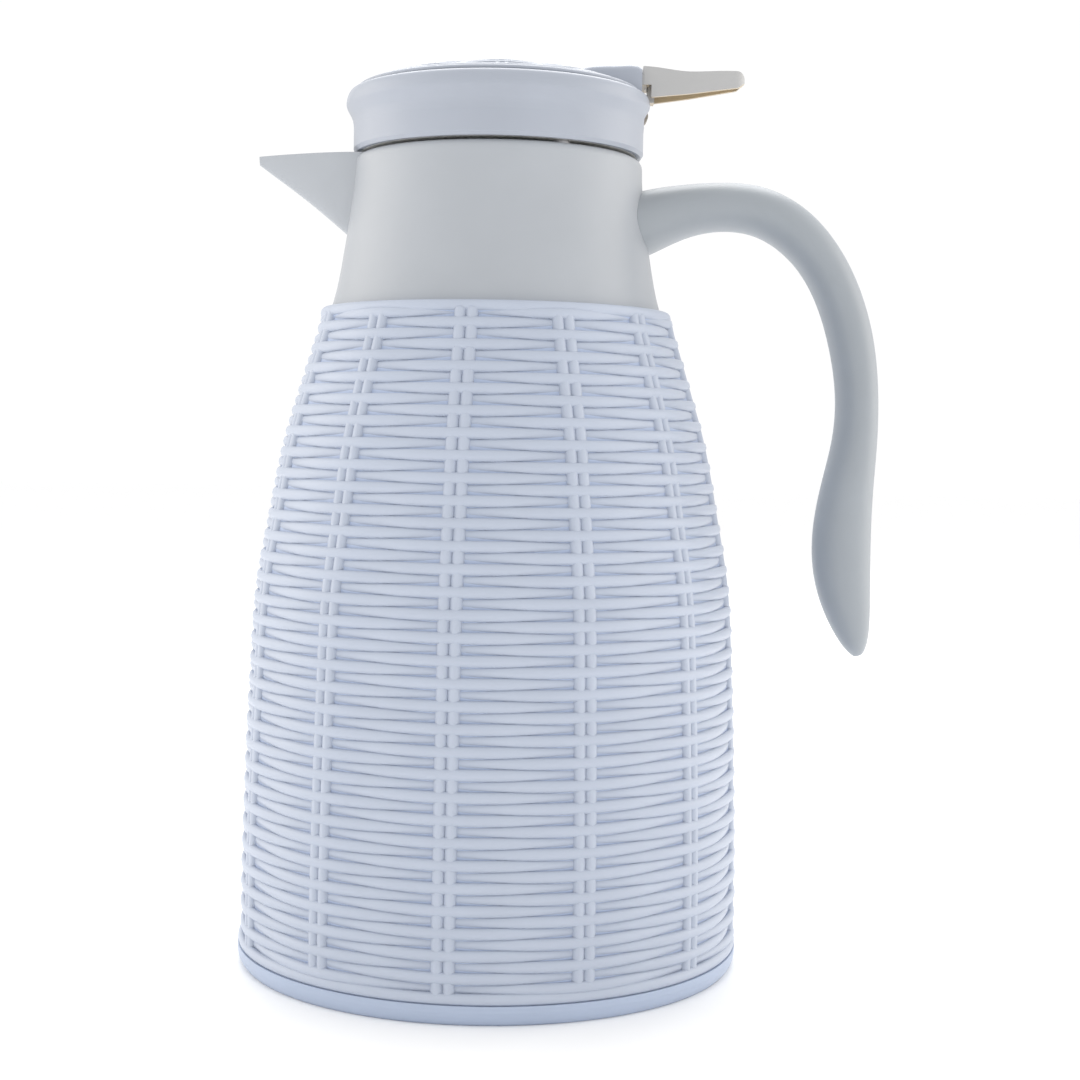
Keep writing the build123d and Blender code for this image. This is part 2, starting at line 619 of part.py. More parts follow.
def make_lever():
    root_top = (LEVER_ROOT_X, 291.9)
    crest = [root_top, (53.0, 291.5), (60.0, 290.8), (68.0, 291.1), (77.0, 291.5)]
    top = Spline(*[(x, 0, z) for x, z in crest])
    nose = ThreePointArc((77.0, 0, 291.5), (79.6, 0, 290.2), (79.9, 0, 288.0))
    edge = [(79.9, 288.0), (77.6, 286.2), (62.0, 283.7), (49.2, 282.1), (49.2, 286.0)]
    edge += [(LEVER_ROOT_X, 286.0), root_top]
    under = Polyline(*[(x, 0, z) for x, z in edge])
    blade = extrude(make_face(top + nose + under), amount=12.0, dir=(0, 1, 0), both=True)
    blade = blade & lever_plan()
    roof = [(48.6, 289.6), (53.0, 289.3), (60.0, 288.7), (68.0, 289.0), (76.5, 289.4), (78.0, 288.0)]
    hollow = side_profile([*roof, (78.0, 278.0), (48.6, 278.0)], 12.0) & lever_plan(LEVER_WALL)
    # rib that lands on the stop at the end of the stroke
    rib = side_profile([(48.2, 290.0), (48.2, 281.0), (50.4, 281.0), (50.4, 290.0)], 3.0)
    # beam from the blade back to the pivot, and the fork that reaches under the stem's cap
    beam_points = [(30.0, 285.4), (30.0, 287.6), (36.0, 289.2), (47.0, 289.2), (47.0, 286.0), (44.0, 285.4)]
    beam = side_profile(beam_points, LEVER_HALF_WIDTH)
    hub = pin_shape(LEVER_HUB_R, LEVER_HALF_WIDTH)
    fork_points = [(-0.5, 280.3), (-0.5, 282.6), (9.0, 282.6), (30.0, 285.6), (34.0, 287.0)]
    fork_points += [(34.0, 282.2), (30.0, 282.4)]
    fork = side_profile(fork_points, FORK_HALF_WIDTH)
    fork = fork - block(-2.0, 27.0, FORK_SLOT, 270.0, 300.0)
    lever = (blade - hollow) + rib + beam + hub + fork
    return lever - pin_shape(PIN_R + PIN_CLEARANCE, 20.0)


def make_valve_stem():
    collar = disc(SPRING_COLLAR_R, SPRING_COLLAR_Z, SPRING_COLLAR_TOP)
    return disc(STEM_R, VALVE_BOTTOM - 1.5, STEM_TOP) + collar


def make_valve_disc():
    plate = ring(STEM_R, VALVE_R, VALVE_BOTTOM, VALVE_TOP)
    return plate + ring(STEM_R, VALVE_HUB_R, VALVE_TOP, VALVE_HUB_TOP)


def make_valve_seal():
    return ring(VALVE_SEAL_INNER_R, VALVE_SEAL_R, STOPPER_TUBE_Z + 0.05, VALVE_BOTTOM)


def make_stem_cap():
    return ring(STEM_R, STEM_CAP_R, STEM_CAP_Z, STEM_TOP)


def make_return_spring():
    low = SPRING_COLLAR_TOP + SPRING_WIRE_R
    height = DECK_Z - SPRING_WIRE_R - low
    path = Pos(0, 0, low) * Helix(pitch=height / SPRING_TURNS, height=height, radius=SPRING_R)
    start = Plane(origin=path @ 0, z_dir=path % 0)
    return sweep(start * Circle(SPRING_WIRE_R), path=path, is_frenet=True)


def write(name, shape):
    solids = shape if isinstance(shape, list) else shape.solids()
    body = Compound(children=list(solids)) if len(solids) > 1 else solids[0]
    export_step(body, f"parts/{name}.step")


os.makedirs("parts", exist_ok=True)
inner_glass, outer_glass, flask_solid = make_liners()
shapes = {
    "outer_shell": make_outer_shell(),
    "neck_shell": make_neck_shell(),
    "handle": make_handle(),
    "handle_screws": make_handle_screws(),
    "liner_inner": inner_glass,
    "liner_outer": outer_glass,
    "liner_spacers": make_liner_spacers(),
    "mouth_gasket": make_mouth_gasket(),
    "inner_collar": make_inner_collar(),
    "base_cushion": make_base_cushion(flask_solid),
    "base_cap": make_base_cap(),
    "foot_ring": make_foot_ring(),
    "stopper_seal": make_stopper_seal(),
    "stopper_base": make_stopper_base(),
    "stopper_body": make_stopper_body(),
    "insulation_foam": make_insulation_foam(),
    "mechanism_deck": make_mechanism_deck(),
    "stem_seal": make_stem_seal(),
    "lid_skirt": make_lid_skirt(),
    "lid_screws": lid_screw_shapes(),
    "lid_cover": make_lid_cover(),
    "lever_stop": make_lever_stop(),
    "lever_pin": make_lever_pin(),
    "lever": make_lever(),
    "valve_stem": make_valve_stem(),
    "valve_disc": make_valve_disc(),
    "valve_seal": make_valve_seal(),
    "stem_cap": make_stem_cap(),
    "return_spring": make_return_spring(),
}
for name, shape in shapes.items():
    write(name, shape)
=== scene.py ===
import math

import bmesh
import bpy
import numpy as np
from mathutils import Matrix, Vector


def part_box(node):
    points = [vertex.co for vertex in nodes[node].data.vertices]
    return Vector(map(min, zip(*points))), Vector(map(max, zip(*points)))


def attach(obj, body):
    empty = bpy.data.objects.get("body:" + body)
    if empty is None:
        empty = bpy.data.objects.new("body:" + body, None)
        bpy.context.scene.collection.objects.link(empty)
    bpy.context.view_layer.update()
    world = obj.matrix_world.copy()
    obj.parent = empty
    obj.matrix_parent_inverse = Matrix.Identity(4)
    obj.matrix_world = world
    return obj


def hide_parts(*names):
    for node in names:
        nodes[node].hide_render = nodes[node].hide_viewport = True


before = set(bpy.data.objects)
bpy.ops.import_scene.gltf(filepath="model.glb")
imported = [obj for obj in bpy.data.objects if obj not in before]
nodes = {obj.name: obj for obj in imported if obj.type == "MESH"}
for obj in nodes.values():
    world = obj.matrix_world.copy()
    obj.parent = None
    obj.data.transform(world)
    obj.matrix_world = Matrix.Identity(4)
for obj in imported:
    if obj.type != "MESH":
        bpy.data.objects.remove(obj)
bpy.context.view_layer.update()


# ---- Woven barrel ----
# The jug's body is one tapered plastic moulding that imitates a cane basket: rounded strands go over and
# under twelve double stakes, row by row. It is injection moulded and clips over the base cap.
SHELL_LOW, SHELL_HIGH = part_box("outer_shell")
BARREL_FOOT = SHELL_LOW.z
BARREL_TOP = SHELL_HIGH.z
# (height, radius) of the barrel's outermost surface
BARREL_CURVE = [
    (0.0060, 0.0822), (0.0240, 0.0822), (0.0580, 0.0815), (0.0920, 0.0802), (0.1250, 0.0780),
    (0.1455, 0.0744), (0.1705, 0.0695), (0.1900, 0.0638), (0.2088, 0.0580),
]
ROWS = 61
ROW_PITCH = 0.00331
FIRST_ROW = 0.01040
STAKES = 12
STAKE_PHASE = math.radians(-7.7)
STRAND_HALF_HEIGHT = 0.00180
STRAND_HALF_DEPTH = 0.00130
STRAND_SWING = 0.00092  # how far a strand moves in and out of the mean surface
ROUNDNESS = 0.80  # 0 gives a pure wave, 1 a zigzag
ROD_R = 0.00205
ROD_SPACING = 0.00355
ROD_SINK = 0.00045  # how far the stakes lie behind the outermost strands
STAKE_BOTTOM = BARREL_FOOT + 0.0016
STAKE_TOP = 0.2100
STAKE_STEPS = 44
RING_STEPS = 144  # round the axis
TUBE_SIDES = 10  # round a strand or a rod
FOOT_BORDER_Z = 0.0077
NECK_BORDER = (0.0560, 0.2109)  # (radius, height) of the plain strand under the neck
WALL_SINK = 0.0020  # how far the wall between the strands lies behind their outside
WALL_THICK = 0.0010
WALL_STEPS = 30
WALL_START = 0.0120
WALL_END = 0.2085
MOUTH_R = 0.0523
MOUTH_LOW = 0.2102
SHOULDER = [(0.0569, 0.2100), (0.0568, 0.2112), (0.0556, 0.2122), (0.0540, BARREL_TOP)]
WEAVE_COLOR = (0.706, 0.738, 0.798)
# the wall behind the strands is painted bluer than the strands: painted shade in the recesses
RECESS_SHADE_COLOR = (0.705, 0.755, 0.850)
WEAVE_GRAIN = 1500.0
WEAVE_RELIEF = 0.18


def srgb(color):
    """Display colour to linear."""
    return tuple(c / 12.92 if c <= 0.04045 else ((c + 0.055) / 1.055) ** 2.4 for c in color) + (1.0,)


def hermite(points, at):
    """Value of a smooth curve through (position, value) points."""
    xs, ys = np.array(points).T
    slopes = np.gradient(ys, xs)
    at = np.clip(at, xs[0], xs[-1])
    i = np.clip(np.searchsorted(xs, at) - 1, 0, len(xs) - 2)
    h = xs[i + 1] - xs[i]
    t = (at - xs[i]) / h
    blend = (1 + 2 * t) * (1 - t) ** 2 * ys[i] + t * t * (3 - 2 * t) * ys[i + 1]
    return blend + h * t * (1 - t) * ((1 - t) * slopes[i] - t * slopes[i + 1])


def barrel_radius(z):
    """Outermost radius of the barrel at a height."""
    return float(hermite(BARREL_CURVE, z))


def new_mesh_object(name, vertices, edges=(), faces=()):
    """A mesh object at the origin, linked to the scene."""
    mesh = bpy.data.meshes.new(name)
    mesh.from_pydata([tuple(v) for v in vertices], list(edges), list(faces))
    mesh.update()
    piece = bpy.data.objects.new(name, mesh)
    bpy.context.scene.collection.objects.link(piece)
    return piece


PATCH_SCALE = 38.0
SHEEN_SPREAD = 0.05
GRAIN_HEIGHT = 0.00004
PLASTIC_IOR = 1.49


def moulded(name, color, roughness, grain=2600.0, relief=0.10, tint=0.03, streaks=1.0):
    """A finish with a fine grain, slight shade differences and an uneven sheen, as on moulded plastic.

    grain is the scale of the fine grain and relief its strength, tint is how far the shade strays, and
    streaks is how many times wider than tall the marks are.
    """
    material = bpy.data.materials.new(name)
    material.use_nodes = True
    tree = material.node_tree
    shader = tree.nodes["Principled BSDF"]
    coordinates = tree.nodes.new("ShaderNodeTexCoord")
    stretch = tree.nodes.new("ShaderNodeMapping")
    stretch.inputs["Scale"].default_value = (1.0, 1.0, streaks)
    tree.links.new(coordinates.outputs["Object"], stretch.inputs["Vector"])
    fine = tree.nodes.new("ShaderNodeTexNoise")
    fine.inputs["Scale"].default_value = grain
    fine.inputs["Detail"].default_value = 3.0
    broad = tree.nodes.new("ShaderNodeTexNoise")
    broad.inputs["Scale"].default_value = PATCH_SCALE
    broad.inputs["Detail"].default_value = 4.0
    for noise in (fine, broad):
        tree.links.new(stretch.outputs["Vector"], noise.inputs["Vector"])
    shade = tree.nodes.new("ShaderNodeMix")
    shade.data_type = "RGBA"
    shade.inputs["A"].default_value = srgb([c * (1 - tint) for c in color])
    shade.inputs["B"].default_value = srgb([min(1.0, c * (1 + tint)) for c in color])
    tree.links.new(broad.outputs["Fac"], shade.inputs["Factor"])
    tree.links.new(shade.outputs["Result"], shader.inputs["Base Color"])
    sheen = tree.nodes.new("ShaderNodeMapRange")
    sheen.inputs["To Min"].default_value = roughness - SHEEN_SPREAD
    sheen.inputs["To Max"].default_value = roughness + SHEEN_SPREAD
    tree.links.new(broad.outputs["Fac"], sheen.inputs["Value"])
    tree.links.new(sheen.outputs["Result"], shader.inputs["Roughness"])
    bump = tree.nodes.new("ShaderNodeBump")
    bump.inputs["Strength"].default_value = relief
    bump.inputs["Distance"].default_value = GRAIN_HEIGHT
    tree.links.new(fine.outputs["Fac"], bump.inputs["Height"])
    tree.links.new(bump.outputs["Normal"], shader.inputs["Normal"])
    shader.inputs["IOR"].default_value = PLASTIC_IOR
    return material


class Tree:
    """A geometry tree under construction: adds nodes, reckons with fields and keeps the named inputs."""

    def __init__(self, name, inputs):
        self.tree = bpy.data.node_groups.new(name, "GeometryNodeTree")
        interface = self.tree.interface
        interface.new_socket("Geometry", in_out="INPUT", socket_type="NodeSocketGeometry")
        self.sockets = {}
        for label, kind in inputs:
            self.sockets[label] = interface.new_socket(label, in_out="INPUT", socket_type=kind)
        interface.new_socket("Geometry", in_out="OUTPUT", socket_type="NodeSocketGeometry")
        self.start = self.tree.nodes.new("NodeGroupInput")
        self.end = self.tree.nodes.new("NodeGroupOutput")

    def value(self, label):
        """Output of the named input."""
        return self.start.outputs[label]

    def add(self, kind, links=None, **settings):
        """New node with its settings and its inputs, each a link or a value."""
        node = self.tree.nodes.new(kind)
        for key, setting in settings.items():
            setattr(node, key, setting)
        for key, source in (links or {}).items():
            self.put(node.inputs[key], source)
        return node

    def put(self, socket, source):
        """Links an output to the socket, or sets the socket's value."""
        if isinstance(source, bpy.types.NodeSocket):
            self.tree.links.new(source, socket)
        else:
            socket.default_value = source

    def calc(self, operation, *terms):
        """Output of one arithmetic step on fields and numbers."""
        node = self.tree.nodes.new("ShaderNodeMath")
        node.operation = operation
        for socket, term in zip(node.inputs, terms):
            self.put(socket, term)
        return node.outputs[0]

    def attribute(self, name):
        """Output that reads a stored number."""
        node = self.add("GeometryNodeInputNamedAttribute", {"Name": name}, data_type="FLOAT")
        return node.outputs["Attribute"]

    def close(self, geometry, material):
        """Realize Instances and Set Material end every tree."""
        real = self.add("GeometryNodeRealizeInstances", {"Geometry": geometry})
        smooth = self.add("GeometryNodeSetShadeSmooth", {"Geometry": real.outputs["Geometry"]})
        paint = self.add(
            "GeometryNodeSetMaterial", {"Geometry": smooth.outputs["Geometry"], "Material": material}
        )
        self.tree.links.new(paint.outputs["Geometry"], self.end.inputs["Geometry"])


def grown(name, base, tree, values):
    """Runs a tree on a base object and returns the result as a plain mesh object."""
    modifier = base.modifiers.new("grow", "NODES")
    modifier.node_group = tree.tree
    for label, value in values.items():
        modifier[tree.sockets[label].identifier] = value
    bpy.context.view_layer.update()
    evaluated = base.evaluated_get(bpy.context.evaluated_depsgraph_get())
    mesh = bpy.data.meshes.new_from_object(evaluated)
    base.modifiers.remove(modifier)
    bpy.data.objects.remove(base)
    mesh.name = name
    piece = bpy.data.objects.new(name, mesh)
    bpy.context.scene.collection.objects.link(piece)
    return piece


def row_tree():
    """Rings through a line of row points, each swinging over and under the stakes."""
    tree = Tree("woven rows", [
        ("Material", "NodeSocketMaterial"), ("Radial half size", "NodeSocketFloat"),
        ("Upright half size", "NodeSocketFloat"), ("Swing", "NodeSocketFloat"),
        ("Waves", "NodeSocketFloat"), ("Phase", "NodeSocketFloat"),
        ("Segments", "NodeSocketInt"), ("Sides", "NodeSocketInt"),
    ])
    here = tree.add("GeometryNodeInputPosition").outputs["Position"]
    parts = tree.add("ShaderNodeSeparateXYZ", {"Vector": here}).outputs
    on_axis = tree.add("ShaderNodeCombineXYZ", {"Z": parts["Z"]}).outputs["Vector"]
    stored = tree.add(
        "GeometryNodeStoreNamedAttribute",
        {"Geometry": tree.start.outputs["Geometry"], "Name": "ring", "Value": parts["X"]},
        data_type="FLOAT", domain="POINT",
    )
    centred = tree.add(
        "GeometryNodeSetPosition", {"Geometry": stored.outputs["Geometry"], "Position": on_axis}
    )
    points = tree.add("GeometryNodeMeshToPoints", {"Mesh": centred.outputs["Geometry"]})
    hoop = tree.add(
        "GeometryNodeCurvePrimitiveCircle", {"Resolution": tree.value("Segments"), "Radius": 1.0}
    )
    size = tree.attribute("ring")
    scale = tree.add("ShaderNodeCombineXYZ", {"X": size, "Y": size, "Z": 1.0}).outputs["Vector"]
    hoops = tree.add("GeometryNodeInstanceOnPoints", {
        "Points": points.outputs["Points"], "Instance": hoop.outputs["Curve"], "Scale": scale,
    })
    rings = tree.add("GeometryNodeRealizeInstances", {"Geometry": hoops.outputs["Instances"]})
    # the swing is nearly straight between stakes and rounded where it crosses one
    angle = tree.calc("ARCTAN2", parts["Y"], parts["X"])
    turns = tree.calc("MULTIPLY", tree.calc("SUBTRACT", angle, tree.value("Phase")), tree.value("Waves"))
    crest = tree.calc("MULTIPLY", tree.calc("COSINE", turns), ROUNDNESS)
    wave = tree.calc("DIVIDE", tree.calc("ARCSINE", crest), math.asin(ROUNDNESS))
    swing = tree.calc("MULTIPLY", tree.calc("MULTIPLY", wave, tree.attribute("side")), tree.value("Swing"))
    outward = tree.calc("MULTIPLY", swing, tree.attribute("lean_out"))
    upward = tree.calc("MULTIPLY", swing, tree.attribute("lean_up"))
    push = tree.add("ShaderNodeCombineXYZ", {
        "X": tree.calc("MULTIPLY", tree.calc("COSINE", angle), outward),
        "Y": tree.calc("MULTIPLY", tree.calc("SINE", angle), outward), "Z": upward,
    }).outputs["Vector"]
    swung = tree.add("GeometryNodeSetPosition", {"Geometry": rings.outputs["Geometry"], "Offset": push})
    level = tree.add("GeometryNodeSetCurveNormal", {"Curve": swung.outputs["Geometry"]})
    level.mode = "Z_UP"
    circle = tree.add(
        "GeometryNodeCurvePrimitiveCircle", {"Resolution": tree.value("Sides"), "Radius": 1.0}
    )
    flat = tree.add("ShaderNodeCombineXYZ", {
        "X": tree.value("Radial half size"), "Y": tree.value("Upright half size"), "Z": 1.0,
    }).outputs["Vector"]
    section = tree.add("GeometryNodeTransform", {"Geometry": circle.outputs["Curve"], "Scale": flat})
    tubes = tree.add("GeometryNodeCurveToMesh", {
        "Curve": level.outputs["Curve"], "Profile Curve": section.outputs["Geometry"],
    })
    tree.close(tubes.outputs["Mesh"], tree.value("Material"))
    return tree


def stake_tree():
    """Pairs of rods that follow a profile line, repeated round the axis."""
    tree = Tree("double stakes", [
        ("Material", "NodeSocketMaterial"), ("Rod radius", "NodeSocketFloat"),
        ("Rod spacing", "NodeSocketFloat"), ("Count", "NodeSocketInt"), ("Phase", "NodeSocketFloat"),
        ("Sides", "NodeSocketInt"),
    ])
    line = tree.add("GeometryNodeMeshToCurve", {"Mesh": tree.start.outputs["Geometry"]})
    section = tree.add("GeometryNodeCurvePrimitiveCircle", {
        "Resolution": tree.value("Sides"), "Radius": tree.value("Rod radius"),
    })
    rod = tree.add("GeometryNodeCurveToMesh", {
        "Curve": line.outputs["Curve"], "Profile Curve": section.outputs["Curve"], "Fill Caps": True,
    })
    pair = tree.add("GeometryNodeJoinGeometry")
    for side in (0.5, -0.5):
        aside = tree.calc("MULTIPLY", tree.value("Rod spacing"), side)
        move = tree.add("ShaderNodeCombineXYZ", {"Y": aside}).outputs["Vector"]
        moved = tree.add("GeometryNodeTransform", {"Geometry": rod.outputs["Mesh"], "Translation": move})
        tree.tree.links.new(moved.outputs["Geometry"], pair.inputs["Geometry"])
    spots = tree.add("GeometryNodeMeshLine", {"Count": tree.value("Count"), "Offset": (0.0, 0.0, 0.0)})
    step = tree.calc("DIVIDE", 2 * math.pi, tree.value("Count"))
    index = tree.add("GeometryNodeInputIndex").outputs["Index"]
    turn = tree.calc("ADD", tree.value("Phase"), tree.calc("MULTIPLY", index, step))
    about = tree.add("ShaderNodeCombineXYZ", {"Z": turn}).outputs["Vector"]
    copies = tree.add("GeometryNodeInstanceOnPoints", {
        "Points": spots.outputs["Mesh"], "Instance": pair.outputs["Geometry"], "Rotation": about,
    })
    tree.close(copies.outputs["Instances"], tree.value("Material"))
    return tree


def row_base(name, rows):
    """Points for row_tree: (ring radius, height, side, outward lean, upward lean) of each row."""
    base = new_mesh_object(name, [(r, 0.0, z) for r, z, *_ in rows])
    for column, label in enumerate(("side", "lean_out", "lean_up"), start=2):
        attribute = base.data.attributes.new(label, "FLOAT", "POINT")
        attribute.data.foreach_set("value", [row[column] for row in rows])
    return base


def line_base(name, points):
    """A line of (radius, height) points that a stake follows."""
    edges = [(i, i + 1) for i in range(len(points) - 1)]
    return new_mesh_object(name, [(r, 0.0, z) for r, z in points], edges)


def turned(name, outline, material, segments):
    """Closed solid of revolution from a closed (radius, height) outline."""
    vertices, faces = [], []
    count = len(outline)
    for k in range(segments):
        a = 2 * math.pi * k / segments
        vertices += [(r * math.cos(a), r * math.sin(a), z) for r, z in outline]
    for k in range(segments):
        here, there = k * count, (k + 1) % segments * count
        for i in range(count):
            j = (i + 1) % count
            faces.append((here + i, there + i, there + j, here + j))
    piece = new_mesh_object(name, vertices, (), faces)
    finish_mesh(piece)
    piece.data.materials.append(material)
    return piece


def finish_mesh(piece, sharp=math.radians(35)):
    """Merges doubles, turns the faces outwards and shades them smooth up to sharp edges."""
    shape = bmesh.new()
    shape.from_mesh(piece.data)
    bmesh.ops.remove_doubles(shape, verts=shape.verts, dist=1e-6)
    bmesh.ops.recalc_face_normals(shape, faces=shape.faces)
    for face in shape.faces:
        face.smooth = True
    for edge in shape.edges:
        edge.smooth = len(edge.link_faces) == 2 and edge.calc_face_angle(0.0) < sharp
    shape.to_mesh(piece.data)
    shape.free()


def place(piece, body, slot, *replaced):
    """Puts a finished piece on its body and hides the CAD nodes it stands for."""
    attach(piece, body)
    if replaced:
        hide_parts(*replaced)


weave_plastic = moulded(
    "weave plastic", WEAVE_COLOR, 0.44, grain=WEAVE_GRAIN, relief=WEAVE_RELIEF, tint=0.025, streaks=3.0
)
# finish of the wall behind the strands, painted bluer as the shade that falls in the recesses
recess_shade_plastic = moulded(
    "weave plastic, painted recess shade", RECESS_SHADE_COLOR, 0.55, grain=WEAVE_GRAIN, relief=WEAVE_RELIEF
)
woven_rows = row_tree()
double_stakes = stake_tree()
row_inset = STRAND_HALF_DEPTH + STRAND_SWING
barrel_rows = []
for row in range(ROWS):
    height = FIRST_ROW + row * ROW_PITCH
    barrel_rows.append((barrel_radius(height) - row_inset, height, -1.0 if row % 2 else 1.0, 1.0, 0.0))
# plain border strands close the weave at the foot and under the neck
barrel_rows.append((barrel_radius(FOOT_BORDER_Z) - STRAND_HALF_DEPTH, FOOT_BORDER_Z, 0.0, 1.0, 0.0))
barrel_rows.append((*NECK_BORDER, 0.0, 1.0, 0.0))
strands = grown("barrel_strands", row_base("barrel rows", barrel_rows), woven_rows, {
    "Material": weave_plastic, "Radial half size": STRAND_HALF_DEPTH,
    "Upright half size": STRAND_HALF_HEIGHT, "Swing": STRAND_SWING, "Waves": STAKES / 2,
    "Phase": STAKE_PHASE, "Segments": RING_STEPS, "Sides": TUBE_SIDES,
})
stake_heights = np.linspace(STAKE_BOTTOM, STAKE_TOP, STAKE_STEPS)
stake_line = [(barrel_radius(z) - ROD_SINK - ROD_R, float(z)) for z in stake_heights]
stakes = grown("barrel_stakes", line_base("stake line", stake_line), double_stakes, {
    "Material": weave_plastic, "Rod radius": ROD_R, "Rod spacing": ROD_SPACING, "Count": STAKES,
    "Phase": STAKE_PHASE, "Sides": TUBE_SIDES,
})
wall_heights = [BARREL_FOOT] + [float(z) for z in np.linspace(WALL_START, WALL_END, WALL_STEPS)]
outer_wall = [(barrel_radius(z) - WALL_SINK, z) for z in wall_heights]
inner_wall = [(r - WALL_THICK, z) for r, z in reversed(outer_wall)]
wall_outline = outer_wall + SHOULDER + [(MOUTH_R, BARREL_TOP), (MOUTH_R, MOUTH_LOW)] + inner_wall
barrel_wall = turned("barrel_wall", wall_outline, recess_shade_plastic, RING_STEPS)
for part in (strands, stakes, barrel_wall):
    place(part, "jug", "woven_shell", "outer_shell")


# ---- Base cap and foot ring ----
# The smooth band at the bottom is the rim of the base cap, a plastic tray that snaps into the barrel.
# A soft ring of non-slip rubber is pressed into the groove of its underside.
BASE_COLOR = (0.675, 0.722, 0.805)
FOOT_COLOR = (0.55, 0.57, 0.60)
RUBBER_GRAIN = 900.0


def coat(node, material):
    """Gives a CAD node its finish."""
    nodes[node].data.materials[0] = material


coat("base_cap", moulded("base plastic", BASE_COLOR, 0.42))
coat("foot_ring", moulded("foot rubber", FOOT_COLOR, 0.75, grain=RUBBER_GRAIN, relief=0.25))


# ---- Neck, spout and handle ----
# The neck is one satin moulding with the beak of the spout drawn out of it; the handle is a separate
# moulding, screwed on from inside the neck.
NECK_COLOR = (0.668, 0.685, 0.708)
# the handle is the same grey plastic as the neck; its colour is set darker as painted shade
HANDLE_SHADED_COLOR = (0.606, 0.629, 0.653)
coat("neck_shell", moulded("neck plastic", NECK_COLOR, 0.40))
coat("handle", moulded("handle plastic", HANDLE_SHADED_COLOR, 0.42))


# ---- Metal fasteners and spring ----
# Self-tapping screws, the lever's pin, the valve's cap and its spring are stainless steel, turned or drawn.
# The pin lies in the ears under the lid's pod, and the cap is a plain ring round the top of the stem.
STEEL_COLOR = (0.74, 0.74, 0.75)


def drawn_steel():
    """Bare stainless steel with fine drawing marks."""
    material = moulded("stainless steel", STEEL_COLOR, 0.30, grain=1200.0, relief=0.3, streaks=6.0)
    material.node_tree.nodes["Principled BSDF"].inputs["Metallic"].default_value = 1.0
    return material


steel = drawn_steel()
for part in ("handle_screws", "lid_screws", "lever_pin", "stem_cap", "return_spring"):
    coat(part, steel)


# ---- Vacuum flask ----
# Two blown glass walls, silvered on the inside of the gap and fused at the mouth, kept apart by pressed
# fibre pads. The flask stands on a rubber cushion and is sealed to the collar by a silicone ring.
GLASS_COLOR = (0.86, 0.87, 0.88)
SILICONE_COLOR = (0.88, 0.88, 0.86)
CUSHION_COLOR = (0.12, 0.12, 0.12)
PAD_COLOR = (0.52, 0.50, 0.47)


def silvered_glass():
    """Glass over a silver film: a mirror with the faint waviness of blown glass."""
    material = moulded("silvered glass", GLASS_COLOR, 0.10, grain=60.0, relief=0.25, tint=0.02)
    shader = material.node_tree.nodes["Principled BSDF"]
    shader.inputs["Metallic"].default_value = 0.92
    shader.inputs["Coat Weight"].default_value = 0.6
    return material


silicone = moulded("silicone", SILICONE_COLOR, 0.55, grain=700.0, relief=0.15)
glass = silvered_glass()
coat("liner_inner", glass)
coat("liner_outer", glass)
coat("liner_spacers", moulded("fibre pad", PAD_COLOR, 0.90, grain=500.0, relief=0.6, tint=0.10))
coat("mouth_gasket", silicone)
coat("base_cushion", moulded("black rubber", CUSHION_COLOR, 0.70, grain=RUBBER_GRAIN, relief=0.30))


# ---- Collar and stopper ----
# The threaded collar holds the flask's mouth and carries the pour gallery. The stopper screws into it.
# Both are natural white polypropylene, food grade, as are the deck and the valve.
INNER_COLOR = (0.90, 0.90, 0.89)
FOAM_COLOR = (0.90, 0.88, 0.80)
inner_plastic = moulded("inner plastic", INNER_COLOR, 0.48, grain=1800.0)
for part in ("inner_collar", "stopper_base", "stopper_body", "mechanism_deck", "valve_stem", "valve_disc"):
    coat(part, inner_plastic)
for part in ("stopper_seal", "stem_seal", "valve_seal"):
    coat(part, silicone)
foam = moulded("closed-cell foam", FOAM_COLOR, 0.95, grain=800.0, relief=1.0, tint=0.06)
coat("insulation_foam", foam)


# ---- Lid skirt and stop ----
# The skirt is the lid's smooth ring with a rounded bead for the fingers. A small bumper sits in its pocket
# where the thumb lever comes down.
LID_COLOR = (0.655, 0.678, 0.722)
STOP_COLOR = (0.60, 0.57, 0.53)
lid_plastic = moulded("lid plastic", LID_COLOR, 0.38)
coat("lid_skirt", lid_plastic)
coat("lever_stop", moulded("bumper rubber", STOP_COLOR, 0.60, grain=RUBBER_GRAIN))


# ---- Woven lid cover ----
# The domed cover repeats the barrel's weave in rings round its middle, inside a border of two plain rings.
# It is one moulding with the smooth pod that houses the lever's pivot, and it clips into the skirt.
COVER_LOW, COVER_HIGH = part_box("lid_cover")
COVER_R = -COVER_LOW.x
DOME_TOP = COVER_HIGH.z
DOME_EDGE = 0.2840
LID_ROWS = 11
LID_ROW_PITCH = 0.00285
LID_FIRST_ROW = 0.0112
BUTTON_R = 0.0097  # the valve's cap rises under it when the lever is pressed
BUTTON_STEPS = 64
LID_HALF_WIDTH = 0.00155
LID_HALF_DEPTH = 0.00100
LID_SWING = 0.00070
LID_ROD_R = 0.00150
LID_ROD_SPACING = 0.0028
LID_STAKES = 8
LID_PHASE = math.radians(-87.6)
LID_STAKE_END = 0.0412
LID_STAKE_STEPS = 16
LID_STAKE_SINK = 0.0003
BORDER_RINGS = (0.0424, 0.0449)
CAVITY_X = 0.0296
CAVITY_HALF_WIDTH = 0.0083
NOSE_COVERS_X = 0.0265  # beyond this the pod hides the ends of the rings
POD_HALF_WIDTH = 0.0110
POD_NOSE_X = 0.0200
POD_END_X = 0.0460
